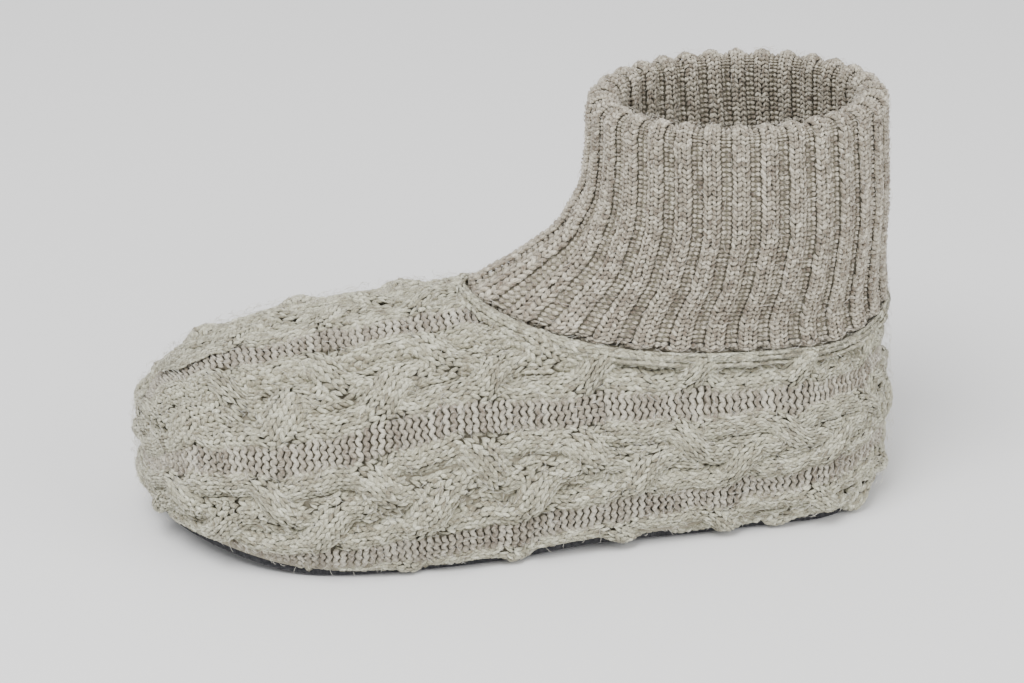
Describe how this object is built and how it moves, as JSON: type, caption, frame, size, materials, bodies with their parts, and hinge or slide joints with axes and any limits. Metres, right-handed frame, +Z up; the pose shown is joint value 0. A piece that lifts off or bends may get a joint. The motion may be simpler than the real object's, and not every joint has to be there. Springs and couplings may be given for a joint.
{
  "type": "slipper sock",
  "caption": "Low knitted slipper sock with plaited cables along the foot, a folded ribbed ankle cuff and a thin dotted grip sole, standing empty.",
  "frame": {"origin": "middle of the footprint box, on the floor under the sole", "axes": "+X to the toe, +Y to the wearer's left, +Z up out of the collar"},
  "size_m": [0.2494, 0.1, 0.1387],
  "materials": {
    "grey_wool": "matt heathered grey-beige wool yarn, cable knit, slightly fuzzy",
    "taupe_wool": "matt heathered taupe wool yarn, ribbed knit",
    "sole_cloth": "matt charcoal cloth with small black grip dots",
    "insole_felt": "matt grey-beige felt"
  },
  "bodies": {
    "root": {"upper": "grey_wool", "cuff": "taupe_wool", "sole": "sole_cloth", "insole": "insole_felt"}
  },
  "joints": []
}
